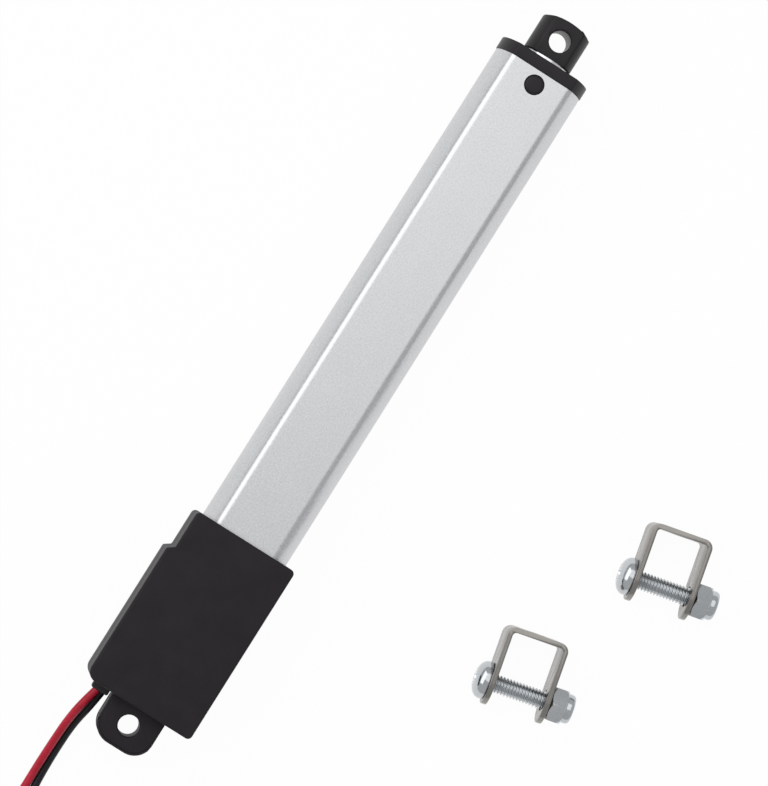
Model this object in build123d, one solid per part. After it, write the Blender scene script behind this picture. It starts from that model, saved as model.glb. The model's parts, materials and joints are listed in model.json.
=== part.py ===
# Small in-line linear actuator, 100 mm stroke, with its two mounting bracket sets.
# Origin: centre of the rear eye. +X runs along the actuator to the rod end,
# +Z leaves its plain front face and +Y points to the side of the cable outlet. Millimetres.
import os
from math import acos, cos, hypot, pi, radians, sin, sqrt, tan

from build123d import *

# Driving dimensions of the actuator. With a stroke of 100 the eyes come 165 apart.
stroke = 100.0
eye_bore = 4.5                # M4, medium fit
eye_chamfer = 0.25

tab_width = 12.4
tab_thickness = 8.0
tab_overhang = 5.1            # tip of the tab beyond the eye
tab_corner = 4.2

housing_rear = 4.15           # rear face, ahead of the eye
housing_half_width = 11.7
housing_outlet_side = 13.15   # half width on the side of the cable outlet
housing_height = 18.0
step_setback = 9.6            # the wide part of the outlet side ends this far behind the front
step_run = 1.0
housing_wall = 1.7
housing_rib = 1.2
housing_corner = 1.0
outlet_corner = 2.3
step_fillet = 0.5
face_bevel = 0.35

tube_diameter = 20.0
tube_flat_share = 0.73        # across the flats, of the diameter
tube_wall = 1.2
tube_pocket = 6.0             # how far the tube goes into the housing
tube_setback = 1.1            # from the drive hub to the tube
tube_pocket_gap = 0.03

# Motor and two-stage planetary gearbox
terminal_chamber = 5.55       # room behind the motor for its terminals and leads
motor_diameter = 15.4
motor_flats = 12.1
motor_length = 12.8
motor_shaft_diameter = 1.5
motor_boss_diameter = 4.0
motor_boss_height = 0.7
motor_cap_length = 1.6
terminal_length = 1.8
terminal_width = 2.0
terminal_thickness = 0.4
terminal_offset = 4.5
drive_bore_gap = 0.1

ring_rim = 3.7 / 3            # tooth roots to the outside of the ring
sun_teeth = 9
planet_teeth = 9
ring_teeth = 27
planets_per_stage = 3
pressure_angle = 25.0
addendum = 0.8
dedendum = 1.05
backlash = 0.09
flank_points = 4
plate_thickness = 0.8
stage_side_gap = 0.4
planet_width_1 = 2.8
planet_width_2 = 3.0
carrier_thickness = 1.1
carrier_rim_gap = 0.35
planet_pin_diameter = 1.4
running_gap = 0.05
hub_diameter = 8.0
hub_length = 2.7
cover_thickness = 0.9

# Screw, bearing, nut and rod
screw_share = 0.25            # screw diameter, of the tube diameter
screw_flat = 0.7
screw_end_gap = 0.5           # the thread ends this far behind the cap's spigot
bearing_seat_wall = 0.6       # least wall of the block round the bearing
bearing_width = 4.0
bearing_setback = 0.8         # from the rear of the tube to the bearing
ball_count = 8
ball_diameter = 1.4
collar_rim = 0.8
collar_length = 1.0
collar_gap = 0.1
clip_rim = 1.5
clip_thickness = 0.5
block_lip = 0.9
tip_bush_length = 1.5
tip_bush_pin_diameter = 2.6
end_gap = 0.6                 # left at each end of the nut's travel
nut_flange = 1.6
nut_length = 5.9
rod_share = 0.5               # rod diameter, of the tube diameter
rod_wall = 1.25
rod_end_overhang = 0.5        # rod end proud of the rod all round
rod_end_flats = 8.5
rod_end_gap = 0.3             # bare rod showing between cap and rod end
rod_end_base = 4.7            # rear face of the rod end to its eye
rod_end_shoulder = 3.4        # eye to the corners of the domed end
rod_end_tip = 4.5             # eye to the top of the dome
rod_end_plug = 6.4
cap_thickness = 2.6
cap_lip = 0.15
cap_spigot = 6.0
boss_diameter = 3.9
boss_setback = 3.1            # boss centre behind the end of the tube
boss_hole_gap = 0.1
boss_crown = 0.35
bush_wall = 0.6
bush_length = 4.4
seal_wall = 1.2
seal_thickness = 1.2
slide_gap = 0.1

# Limit switches on a strip of board beside the rod
board_width = 6.0
board_thickness = 0.7
board_gap = 0.07              # edges of the board to the tube
board_side_gap = 0.3          # sides of the board to the slider
board_seat = 1.2
switch_length = 5.2
switch_width = 3.4
plunger_diameter = 0.8
plunger_reach = 0.35
plunger_gap = 0.03
plunger_rod_gap = 0.55        # plunger to rod
diode_length = 3.0
diode_size = 0.9

# Fasteners that close the housing
housing_screw_diameter = 2.0
housing_screw_head = 3.2
housing_screw_head_height = 1.3
housing_screw_sink = 1.8
housing_screw_reach = 6.2
screw_hole_gap = 0.1
screw_boss_radius = 2.4
screw_rear_inset = 5.35       # plain side, from the rear face
screw_outlet_inset = 10.05    # outlet side, from the rear face
screw_front_inset = 11.6      # from the front face
screw_plain_margin = 1.9      # from the motor's round side out to the screw
screw_outlet_margin = 2.7

# Cable outlet and leads
outlet_inset = 2.55           # outlet bush, in from the outlet side
outlet_width = 3.75
outlet_half_height = 1.9
outlet_length = 1.5           # out of the rear face
outlet_neck_inset = 0.35
outlet_flange = 1.25
wire_diameter = 1.7
red_inset = 1.3               # centre of each lead, in from the edge of the bush
black_inset = 2.5
red_height = 0.95
black_height = -0.95
lead_run = 1.8
lead_gap = 0.1
lead_bend = 1.1
lead_dip = 2.1

# The two leads lie loose on the floor and end in one small coil, one above the other
floor_z = -housing_height / 2
coil_centre = (-46.0, 0.5)
coil_inner_turn = 8.75
coil_pitch = 1.75
coil_layers = 2
outlet_x = housing_rear - outlet_length
outlet_high = housing_outlet_side - outlet_inset
outlet_low = outlet_high - outlet_width
red_exit = (outlet_high - red_inset, red_height)
black_exit = (outlet_high - black_inset, black_height)
red_route = (
    (outlet_x, *red_exit), (-0.4, *red_exit), (-5.4, 10.9, -0.9), (-11.4, 11.5, -4.2),
    (-17.6, 10.8, -6.8), (-24.4, 10.5, -8.15), (-32.0, 11.2, -8.15), (-39.0, 11.3, -8.15),
    (-46.0, 11.0, -8.15),
)
black_route = (
    (outlet_x, *black_exit), (-0.6, *black_exit), (-5.8, 9.3, -2.4), (-11.8, 9.7, -5.2),
    (-17.8, 8.9, -7.3), (-24.0, 8.3, -8.1), (-30.0, 8.7, -6.2), (-38.0, 9.5, -4.5),
    (-46.0, 9.25, -4.65),
)
arc_share = 0.45              # of the shorter run that an arc may take

# Mounting brackets, M4
bracket_width = 13.2
bracket_sheet = 1.1
bracket_strip = 9.6
bracket_depth = 12.5          # outer face of the base to the bolt axis
bracket_bend = 0.8            # inside bend radius
bracket_hole = 4.5
bolt_diameter = 4.0
bolt_length = 18.0
bolt_head_diameter = 8.0
bolt_head_height = 2.9
bolt_head_rim = 0.8
bolt_head_flat = 2.4
bolt_dome_share = 0.78
bolt_recess_width = 0.9
bolt_recess_length = 3.6
bolt_recess_depth = 1.5
nut_across_flats = 7.0
nut_hex_height = 3.3
nut_height = 5.0
nut_collar_diameter = 6.2
nut_collar_round = 0.9
nut_seat_gap = 0.35
thread_gap = 0.02
bracket_places = ((48.0, -65.0), (82.0, -79.0))
bracket_turn = -77.3

# Derived places
half_height = housing_height / 2
tube_flats = tube_diameter * tube_flat_share
gear_module = (motor_diameter / 2 - ring_rim) / (ring_teeth / 2 + dedendum)
screw_diameter = tube_diameter * screw_share
bearing_outer = tube_flats - 2 * (tube_wall + bearing_seat_wall)
bearing_ring_wall = (bearing_outer / 2 - screw_diameter / 2 - ball_diameter) / 2 - running_gap
outer_race = bearing_outer / 2 - bearing_ring_wall
inner_race = screw_diameter / 2 + bearing_ring_wall
inner_rear = housing_rear + housing_wall
motor_rear = inner_rear + terminal_chamber
motor_front = motor_rear + motor_length
ring_face = motor_front + plate_thickness
stage_1_rear = ring_face + stage_side_gap
stage_1_front = stage_1_rear + planet_width_1
carrier_1_rear = stage_1_front + stage_side_gap
carrier_1_front = carrier_1_rear + carrier_thickness
stage_2_rear = carrier_1_front + stage_side_gap
stage_2_front = stage_2_rear + planet_width_2
carrier_2_rear = stage_2_front + stage_side_gap
carrier_2_front = carrier_2_rear + carrier_thickness
ring_front = carrier_2_front + stage_side_gap
cover_front = ring_front + cover_thickness
hub_front = carrier_2_front + hub_length
centre_distance = gear_module * (sun_teeth + planet_teeth) / 2
ring_tip_radius = gear_module * (ring_teeth / 2 - addendum)
carrier_radius = ring_tip_radius - carrier_rim_gap
tube_rear = hub_front + tube_setback
housing_front = tube_rear + tube_pocket
step_front = housing_front - step_setback
bearing_rear = tube_rear + bearing_setback
bearing_front = bearing_rear + bearing_width
collar_rear = bearing_front + collar_gap
collar_front = collar_rear + collar_length
nut_rear = collar_front + end_gap
nut_front = nut_rear + nut_length
spigot_rear = nut_front + stroke + end_gap
screw_tip = spigot_rear - screw_end_gap
tube_front = spigot_rear + cap_spigot
cap_front = tube_front + cap_thickness
boss_x = tube_front - boss_setback
rod_diameter = tube_diameter * rod_share
rod_bore = rod_diameter - 2 * rod_wall
bush_outer = rod_diameter + 2 * bush_wall
seal_outer = rod_diameter + 2 * seal_wall
rod_end_width = rod_diameter + 2 * rod_end_overhang
rod_end_rear = cap_front + rod_end_gap
retracted_length = rod_end_rear + rod_end_base
rod_end_corner = retracted_length + rod_end_shoulder
rod_end_apex = retracted_length + rod_end_tip
board_outer_face = sqrt((tube_diameter / 2 - tube_wall) ** 2 - (board_width / 2) ** 2) - board_gap
board_inner_face = board_outer_face - board_thickness
switch_height = board_inner_face - plunger_reach - plunger_rod_gap - rod_diameter / 2
lead_x = inner_rear + outlet_flange + lead_run
plain_screw_y = -(motor_diameter / 2 + screw_plain_margin)
outlet_screw_y = motor_diameter / 2 + screw_outlet_margin
front_screw_x = housing_front - screw_front_inset
plain_screw_x = housing_rear + screw_rear_inset
outlet_screw_x = housing_rear + screw_outlet_inset
housing_screw_places = (
    (plain_screw_x, plain_screw_y), (front_screw_x, plain_screw_y),
    (outlet_screw_x, outlet_screw_y), (front_screw_x, outlet_screw_y),
)
coil_outer_turn = coil_inner_turn + coil_pitch
bracket_z = floor_z + bracket_strip / 2


def section(z_flats, diameter):
    """Round bar with two flats, seen along X."""
    return Circle(diameter / 2) & Rectangle(diameter, z_flats)


def along_x(profile, start, end):
    """Prism of a profile drawn in Y and Z, from one X to another."""
    return extrude(Plane.YZ.offset(start) * profile, end - start)


def bar(diameter, start, end, y=0.0, z=0.0):
    """Round bar along X."""
    return along_x(Pos(y, z) * Circle(diameter / 2), start, end)


def ring_bar(outer, inner, start, end):
    """Tube along X."""
    return along_x(Circle(outer / 2) - Circle(inner / 2), start, end)


def block(x_span, y_span, z_span):
    """Box between two corners, given as spans."""
    size = [high - low for low, high in (x_span, y_span, z_span)]
    middle = [(high + low) / 2 for low, high in (x_span, y_span, z_span)]
    return Pos(*middle) * Box(*size)


def involute(angle):
    return tan(angle) - angle


def gear_profile(teeth, thin, tip_offset, root_offset, turn):
    """Gear outline in Y and Z with a tooth centred on the direction turn (degrees)."""
    pitch_radius = gear_module * teeth / 2
    base_radius = pitch_radius * cos(radians(pressure_angle))
    tip_radius = pitch_radius + tip_offset * gear_module
    root_radius = pitch_radius - root_offset * gear_module
    half_at_pitch = (pi * gear_module / 2 - thin) / 2 / pitch_radius
    start_radius = max(base_radius, root_radius)
    flank = []
    for step in range(flank_points):
        share = step / (flank_points - 1)
        radius = start_radius + (tip_radius - start_radius) * share
        angle = half_at_pitch + involute(radians(pressure_angle)) - involute(acos(base_radius / radius))
        flank.append((radius, angle))
    if root_radius < base_radius:
        flank.insert(0, (root_radius, flank[0][1]))
    outline = []
    for tooth in range(teeth):
        middle = radians(turn) + 2 * pi * tooth / teeth
        side = [(r, middle - a) for r, a in flank]
        side += [(r, middle + a) for r, a in reversed(flank)]
        outline += [(r * cos(a), r * sin(a)) for r, a in side]
    return make_face(Polyline(*outline, close=True))


def housing_outline():
    """Plan view of the housing with its step on the outlet side."""
    corners = (
        (housing_rear, -housing_half_width), (housing_front, -housing_half_width),
        (housing_front, housing_half_width), (step_front + step_run, housing_half_width),
        (step_front, housing_outlet_side), (housing_rear, housing_outlet_side),
    )
    plan = make_face(Polyline(*corners, close=True))
    radii = (
        housing_corner, housing_corner, housing_corner, step_fillet, step_fillet, outlet_corner,
    )
    for corner, radius in zip(corners, radii):
        nearest = min(plan.vertices(), key=lambda v: hypot(v.X - corner[0], v.Y - corner[1]))
        plan = fillet(nearest, radius)
    return plan


def housing_cavity():
    """Everything that the two shells leave open inside."""
    bore = motor_diameter + 2 * drive_bore_gap
    chamber_side = motor_diameter / 2 - drive_bore_gap
    open_space = bar(bore, inner_rear + outlet_flange, cover_front + running_gap)
    open_space += block((inner_rear, motor_rear), (-chamber_side, outlet_high + running_gap),
                        (-motor_flats / 2, motor_flats / 2))
    open_space += bar(hub_diameter + 2 * screw_hole_gap, cover_front, tube_rear)
    pocket = section(tube_flats + 2 * tube_pocket_gap, tube_diameter + 2 * tube_pocket_gap)
    open_space += along_x(pocket, tube_rear, housing_front)
    return open_space + side_pockets()


def side_pockets():
    """Hollows that keep the moulded sides even; the ribs between them hold motor and gearbox."""
    hollow = Part()
    last = front_screw_x - screw_boss_radius
    height = half_height - housing_wall
    for screw_x, outside, ribs in ((plain_screw_x, -housing_half_width, 2),
                                   (outlet_screw_x, housing_outlet_side, 1)):
        side = outside / abs(outside)
        span = sorted((side * motor_flats / 2, outside - side * housing_wall))
        start = screw_x + screw_boss_radius
        length = (last - start - ribs * housing_rib) / (ribs + 1)
        for number in range(ribs + 1):
            rear = start + number * (length + housing_rib)
            hollow += block((rear, rear + length), span, (-height, height))
    return hollow


def outlet_cut():
    """Notch in the rear wall that grips the neck of the outlet bush."""
    inset = outlet_neck_inset
    return block((housing_rear, inner_rear), (outlet_low + inset, outlet_high - inset),
                 (-outlet_half_height + inset, outlet_half_height - inset))


def housing_shell(side):
    """One half of the housing: side is +1 for the front and -1 for the back."""
    shell = extrude(housing_outline(), side * half_height)
    outer_edges = shell.edges().group_by(Axis.Z)[-1 if side > 0 else 0]
    shell = chamfer(outer_edges, face_bevel)
    shell -= housing_cavity()
    return shell - outlet_cut()


def tab():
    """Rear eye, one piece with the back shell and let into the front one."""
    plan = Pos((inner_rear - tab_overhang) / 2, 0) * Rectangle(inner_rear + tab_overhang, tab_width)
    plan = fillet(plan.vertices().group_by(Axis.X)[0], tab_corner)
    body = Pos(0, 0, -tab_thickness / 2) * extrude(plan, tab_thickness)
    rims = [body.faces().sort_by(Axis.Z)[0], body.faces().sort_by(Axis.Z)[-1]]
    outside = [edge for face in rims for edge in face.edges() if edge.center().X < housing_rear]
    body = chamfer(outside, eye_chamfer)
    return body - eye_hole(tab_thickness, 0.0)


def eye_hole(thickness, x):
    """Bore along Z with a small countersink at each face."""
    radius = eye_bore / 2
    hole = Pos(x, 0) * Cylinder(radius, thickness)
    for side in (1, -1):
        mouth = Cone(radius, radius + eye_chamfer, eye_chamfer)
        if side < 0:
            mouth = Rot(180, 0, 0) * mouth
        hole += Pos(x, 0, side * (thickness - eye_chamfer) / 2) * mouth
    return hole


def screw_holes(diameter, low, high):
    holes = Part()
    for x, y in housing_screw_places:
        holes += Pos(x, y, (low + high) / 2) * Cylinder(diameter / 2, high - low)
    return holes


def back_shell():
    shell = housing_shell(-1)
    shell += tab()
    clear = housing_screw_diameter + 2 * screw_hole_gap
    sink = housing_screw_head + 2 * screw_hole_gap
    shell -= screw_holes(clear, -half_height, 0)
    shell -= screw_holes(sink, -half_height, -half_height + housing_screw_sink)
    return shell


def front_shell():
    shell = housing_shell(1)
    gap = tube_pocket_gap
    tab_seat = block((housing_rear, housing_rear + housing_wall),
                     (-tab_width / 2 - gap, tab_width / 2 + gap), (0, tab_thickness / 2 + gap))
    shell -= tab_seat
    pilot = housing_screw_diameter + 2 * thread_gap
    return shell - screw_holes(pilot, 0, housing_screw_reach + screw_hole_gap)


def housing_screws():
    seat = -half_height + housing_screw_sink
    pieces = []
    for x, y in housing_screw_places:
        shank = Pos(x, y, (seat + housing_screw_reach) / 2) * Cylinder(
            housing_screw_diameter / 2, housing_screw_reach - seat)
        head = Pos(x, y, seat - housing_screw_head_height / 2) * Cylinder(
            housing_screw_head / 2, housing_screw_head_height)
        pieces.append(shank + head)
    return Compound(children=pieces)


def cable_grommet():
    inset = outlet_neck_inset
    height = (-outlet_half_height, outlet_half_height)
    nub = block((housing_rear - outlet_length, housing_rear), (outlet_low, outlet_high), height)
    nub = fillet(nub.faces().sort_by(Axis.X)[0].edges(), inset)
    neck = block((housing_rear, inner_rear), (outlet_low + inset, outlet_high - inset),
                 (height[0] + inset, height[1] - inset))
    flange = block((inner_rear, inner_rear + outlet_flange), (outlet_low, outlet_high), height)
    return nub + neck + flange


def outer_tube():
    inner = section(tube_flats - 2 * tube_wall, tube_diameter - 2 * tube_wall)
    tube = along_x(section(tube_flats, tube_diameter) - inner, tube_rear, tube_front)
    boss_hole = Pos(boss_x, 0) * Cylinder(boss_diameter / 2 + boss_hole_gap, tube_flats)
    return tube - boss_hole


def tube_plug(gap):
    """Section that fills the inside of the tube."""
    return section(tube_flats - 2 * tube_wall - 2 * gap, tube_diameter - 2 * tube_wall - 2 * gap)


def board_slot(start, end, gap):
    """Room for the board strip, open to the outside of the plug."""
    inner = board_inner_face - gap
    half = board_width / 2 + gap
    return block((start, end), (inner, tube_diameter / 2), (-half, half))


def front_cap():
    """Cap, its spigot in the tube and the two bosses that snap into the tube's holes."""
    lip = 2 * cap_lip
    cap = along_x(section(tube_flats + lip, tube_diameter + lip), tube_front, cap_front)
    cap += along_x(tube_plug(tube_pocket_gap), spigot_rear, tube_front)
    boss = Cylinder(boss_diameter / 2, tube_flats)
    for side in (1, -1):
        dome = Cone(boss_diameter / 2, boss_diameter / 2 - boss_crown, boss_crown)
        if side < 0:
            dome = Rot(180, 0, 0) * dome
        boss += Pos(0, 0, side * (tube_flats + boss_crown) / 2) * dome
    cap += Pos(boss_x, 0) * boss
    cap -= bar(bush_outer, spigot_rear, spigot_rear + bush_length)
    cap -= bar(rod_diameter + 2 * slide_gap, spigot_rear, cap_front)
    seal_rear = cap_front - (cap_thickness + seal_thickness) / 2
    cap -= bar(seal_outer, seal_rear, seal_rear + seal_thickness)
    return cap - board_slot(spigot_rear, spigot_rear + board_seat, tube_pocket_gap)


def rod_bush():
    return ring_bar(bush_outer, rod_diameter + 2 * running_gap, spigot_rear, spigot_rear + bush_length)


def rod_seal():
    seal_rear = cap_front - (cap_thickness + seal_thickness) / 2
    return ring_bar(seal_outer, rod_diameter + 2 * running_gap, seal_rear, seal_rear + seal_thickness)


def motor_can():
    can = along_x(section(motor_flats, motor_diameter), motor_rear, motor_front)
    can = fillet(can.faces().sort_by(Axis.X)[-1].edges(), step_fillet)
    can += bar(motor_boss_diameter, motor_front, motor_front + motor_boss_height)
    shaft_hole = motor_shaft_diameter + 2 * running_gap
    return can - bar(shaft_hole, motor_rear + running_gap, motor_front + motor_boss_height)


def motor_end_cap():
    lip = 2 * step_fillet
    rear = motor_rear - motor_cap_length
    cap = along_x(section(motor_flats - lip, motor_diameter - lip), rear, motor_rear)
    return cap


def motor_terminals():
    front = motor_rear - motor_cap_length
    span = (front - terminal_length, front)
    half = terminal_width / 2
    tabs = []
    for side in (1, -1):
        low, high = sorted((side * terminal_offset, side * (terminal_offset + terminal_thickness)))
        tabs.append(block(span, (low, high), (-half, half)))
    return Compound(children=tabs)


def gear(teeth, bore, start, end, turn, y=0.0, z=0.0):
    profile = gear_profile(teeth, backlash, addendum, dedendum, turn) - Circle(bore / 2)
    return along_x(Pos(y, z) * profile, start, end)


def motor_shaft():
    return bar(motor_shaft_diameter, motor_rear + 2 * running_gap, stage_1_front)


def sun_gear_1():
    return gear(sun_teeth, motor_shaft_diameter, stage_1_rear, stage_1_front, 0)


def sun_gear_2():
    return gear(sun_teeth, motor_shaft_diameter, carrier_1_front, stage_2_front, 0)


def planet(number, start, end):
    """Planet gear with a tooth pointing straight out from the sun."""
    turn = 360 * number / planets_per_stage
    y = centre_distance * cos(radians(turn))
    z = centre_distance * sin(radians(turn))
    return gear(planet_teeth, planet_pin_diameter + 2 * running_gap, start, end, turn, y, z)


def ring_gear():
    """Toothed sleeve shared by both stages, with a tooth space on each planet's line."""
    space = gear_profile(ring_teeth, -backlash, dedendum, addendum, 0)
    return along_x(Circle(motor_diameter / 2) - space, ring_face, ring_front)


def gearbox_plate():
    return ring_bar(motor_diameter, motor_boss_diameter + 2 * running_gap, motor_front, ring_face)


def gearbox_cover():
    return ring_bar(motor_diameter, hub_diameter + 2 * screw_hole_gap, ring_front, cover_front)


def carrier_pins(start, end):
    pins = Part()
    for number in range(planets_per_stage):
        turn = radians(360 * number / planets_per_stage)
        pins += bar(planet_pin_diameter, start, end, centre_distance * cos(turn), centre_distance * sin(turn))
    return pins


def carrier_1():
    disc = bar(2 * carrier_radius, carrier_1_rear, carrier_1_front)
    spindle = bar(motor_shaft_diameter, carrier_1_front, stage_2_front)
    return disc + spindle + carrier_pins(stage_1_rear, carrier_1_rear)


def journal(gap):
    """Screw journal with one flat that carries the drive."""
    flat = screw_diameter / 2 - screw_flat + gap
    below_flat = Pos(0, flat - screw_diameter) * Rectangle(2 * screw_diameter, 2 * screw_diameter)
    return Circle(screw_diameter / 2 + gap) & below_flat


def carrier_2():
    disc = bar(2 * carrier_radius, carrier_2_rear, carrier_2_front)
    hub = bar(hub_diameter, carrier_2_front, hub_front)
    body = disc + hub + carrier_pins(stage_2_rear, carrier_2_rear)
    return body - along_x(journal(0), carrier_2_front, hub_front)


def lead_screw():
    screw = along_x(journal(0), carrier_2_front, hub_front)
    screw += bar(screw_diameter, hub_front, collar_rear)
    screw += bar(screw_diameter + 2 * collar_rim, collar_rear - collar_gap, collar_front)
    screw += bar(screw_diameter, collar_front, screw_tip)
    return screw + bar(tip_bush_pin_diameter, screw_tip, screw_tip + tip_bush_length)


def screw_tip_bush():
    return ring_bar(rod_bore - 2 * running_gap, tip_bush_pin_diameter, screw_tip, screw_tip + tip_bush_length)


def retaining_ring():
    rear = bearing_rear - clip_thickness
    return ring_bar(screw_diameter + 2 * clip_rim, screw_diameter, rear, bearing_rear)


def bearing_block():
    """Plug in the rear of the tube that holds the screw bearing."""
    front = bearing_front + block_lip
    body = along_x(tube_plug(tube_pocket_gap), tube_rear, front)
    body -= bar(bearing_outer, tube_rear, bearing_front)
    body -= bar(2 * outer_race, bearing_front, front)
    return body - board_slot(front - board_seat, front, tube_pocket_gap)


def bearing_outer_ring():
    return ring_bar(bearing_outer, 2 * outer_race, bearing_rear, bearing_front)


def bearing_inner_ring():
    return ring_bar(2 * inner_race, screw_diameter, bearing_rear, bearing_front)


def bearing_balls():
    pitch_radius = (outer_race + inner_race) / 2
    middle = (bearing_rear + bearing_front) / 2
    balls = []
    for number in range(ball_count):
        turn = 2 * pi * number / ball_count
        balls.append(Pos(middle, pitch_radius * cos(turn), pitch_radius * sin(turn)) * Sphere(ball_diameter / 2))
    return Compound(children=balls)


def lead_nut():
    nut = bar(rod_diameter, nut_rear, nut_rear + nut_flange)
    nut += bar(rod_bore, nut_rear, nut_front)
    return nut - bar(screw_diameter + 2 * running_gap, nut_rear, nut_front)


def nut_slider():
    """Sleeve that the flats of the tube keep from turning."""
    body = along_x(tube_plug(slide_gap), nut_rear, nut_front)
    body -= bar(rod_diameter, nut_rear, nut_front)
    floor = board_inner_face - switch_height - plunger_reach - plunger_gap
    half = board_width / 2 + board_side_gap
    return body - block((nut_rear, nut_front), (floor, tube_diameter), (-half, half))


def inner_rod():
    return ring_bar(rod_diameter, rod_bore, nut_rear + nut_flange, rod_end_rear)


def rod_end():
    """Black eye on the rod: a flattened bar with a slightly domed end."""
    half = rod_end_width / 2
    rise = rod_end_apex - rod_end_corner
    plan = make_face(
        Polyline((rod_end_corner, half), (rod_end_rear, half), (rod_end_rear, -half),
                 (rod_end_corner, -half))
        + ThreePointArc((rod_end_corner, -half), (rod_end_corner + rise, 0), (rod_end_corner, half))
    )
    height = Pos(0, 0, -half) * extrude(plan, rod_end_width)
    body = height & along_x(section(rod_end_flats, rod_end_width), rod_end_rear, rod_end_apex)
    body += bar(rod_bore, rod_end_rear - rod_end_plug, rod_end_rear)
    return body - eye_hole(rod_end_flats, retracted_length)


def switch_board():
    rear = bearing_front + block_lip - board_seat + tube_pocket_gap
    front = spigot_rear + board_seat - tube_pocket_gap
    half = board_width / 2
    return block((rear, front), (board_inner_face, board_inner_face + board_thickness), (-half, half))


def switch_span(front):
    """X span of a limit switch: at the retracted end, or at the extended end."""
    travel = stroke if front else 0.0
    middle = (nut_rear + nut_front) / 2 + travel
    return middle - switch_length / 2, middle + switch_length / 2


def limit_switch(front):
    half = switch_width / 2
    low, high = switch_span(front)
    case = block((low, high), (board_inner_face - switch_height, board_inner_face), (-half, half))
    y = board_inner_face - switch_height + plunger_reach
    hole = Pos((low + high) / 2, y) * Rot(90, 0, 0) * Cylinder(
        plunger_diameter / 2 + running_gap, 2 * plunger_reach + 2 * running_gap)
    return case - hole


def plunger(front):
    low, high = switch_span(front)
    y = board_inner_face - switch_height
    return Pos((low + high) / 2, y) * Rot(90, 0, 0) * Cylinder(plunger_diameter / 2, 2 * plunger_reach)


def switch_diodes():
    half = diode_size / 2
    diodes = []
    for front in (False, True):
        low, high = switch_span(front)
        start = low - 2 * diode_length if front else high + diode_length
        diodes.append(block((start, start + diode_length),
                            (board_inner_face - diode_size, board_inner_face), (-half, half)))
    return Compound(children=diodes)


def tube_along(points, diameter, radii):
    """Round wire along straight runs joined by arcs."""
    path = FilletPolyline(*points, radius=radii)
    start = path @ 0
    profile = Plane(origin=start, z_dir=path % 0) * Circle(diameter / 2)
    return sweep(profile, path=path)


def corner_radii(points):
    """As large an arc at each corner as its two runs allow."""
    radii = []
    for before, here, after in zip(points, points[1:], points[2:]):
        first = Vector(*here) - Vector(*before)
        second = Vector(*after) - Vector(*here)
        turn = first.get_angle(second)
        radii.append(arc_share * min(first.length, second.length) / tan(radians(turn) / 2))
    return radii


def wire(name, route):
    """Free stretch of a lead."""
    radii = corner_radii(route)
    solid = tube_along(route, wire_diameter, radii)
    length = solid.volume / (pi * wire_diameter ** 2 / 4)
    print(name, "radii", [round(r, 1) for r in radii], "length", round(length, 1))
    return solid


def coil(layer):
    """Outer shape of one lead's coil; the second one lies on the first."""
    inner = coil_inner_turn - coil_pitch / 2
    outer = coil_outer_turn + coil_pitch / 2
    height = coil_layers * coil_pitch
    profile = Circle(outer) - Circle(inner)
    return Pos(coil_centre[0], coil_centre[1], floor_z + layer * height) * extrude(profile, height)


def red_inner_lead():
    """Lead inside the rear chamber, from the outlet bush to the near motor terminal."""
    y, z = red_exit
    start_x = inner_rear + outlet_flange
    end_y = terminal_offset + terminal_thickness + lead_gap
    points = [(start_x, y, z), (lead_x, y, z), (lead_x, end_y, z)]
    return tube_along(points, wire_diameter, [lead_bend])


def black_inner_lead():
    """Lead that dips under the near terminal on its way to the far one."""
    y, z = black_exit
    start_x = inner_rear + outlet_flange
    end_y = -terminal_offset + 3 * lead_gap
    dip_y = terminal_offset / 2
    points = [(start_x, y, z), (lead_x, y, z), (lead_x, dip_y, z - lead_dip), (lead_x, end_y, z)]
    return tube_along(points, wire_diameter, [lead_bend, lead_bend])


def place_bracket(number):
    x, y = bracket_places[number]
    return Pos(x, y, bracket_z) * Rot(0, 0, bracket_turn)


def bracket():
    """U bracket lying on the edges of its strip, base towards +Y, bolt axis along X."""
    half = bracket_width / 2
    tip = -bracket_strip / 2
    outer = make_face(Polyline((-half, tip), (half, tip), (half, bracket_depth), (-half, bracket_depth),
                               close=True))
    outer = fillet(outer.vertices().group_by(Axis.Y)[-1], bracket_bend + bracket_sheet)
    inside = half - bracket_sheet
    floor = bracket_depth - bracket_sheet
    inner = make_face(Polyline((-inside, tip), (inside, tip), (inside, floor), (-inside, floor), close=True))
    inner = fillet(inner.vertices().group_by(Axis.Y)[-1], bracket_bend)
    strip = Pos(0, 0, -bracket_strip / 2) * extrude(outer - inner, bracket_strip)
    ear = Circle(bracket_strip / 2)
    ear += Pos(bracket_depth / 2, 0) * Rectangle(bracket_depth, bracket_strip)
    strip &= along_x(ear, -half, half)
    strip -= bar(bracket_hole, -half, half)
    base_hole = Cylinder(bracket_hole / 2, 4 * bracket_sheet)
    return strip - Pos(0, floor, 0) * Rot(90, 0, 0) * base_hole


def bracket_bolt():
    """Pan head bolt with a cross recess."""
    seat = -bracket_width / 2
    head_radius = bolt_head_diameter / 2
    outer = seat - bolt_head_height
    rim = seat - bolt_head_rim
    crown = (outer, bolt_head_flat / 2)
    shoulder = (rim + (outer - rim) * bolt_dome_share, head_radius * bolt_dome_share)
    profile = make_face(
        Polyline(crown, (outer, 0), (seat, 0), (seat, head_radius), (rim, head_radius))
        + ThreePointArc((rim, head_radius), shoulder, crown)
    )
    bolt = revolve(profile, Axis.X)
    bolt += bar(bolt_diameter, seat, seat + bolt_length)
    arm = bolt_recess_length / 2
    half = bolt_recess_width / 2
    span = (outer - bolt_recess_depth, outer + bolt_recess_depth)
    bolt -= block(span, (-arm, arm), (-half, half))
    return bolt - block(span, (-half, half), (-arm, arm))


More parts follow.
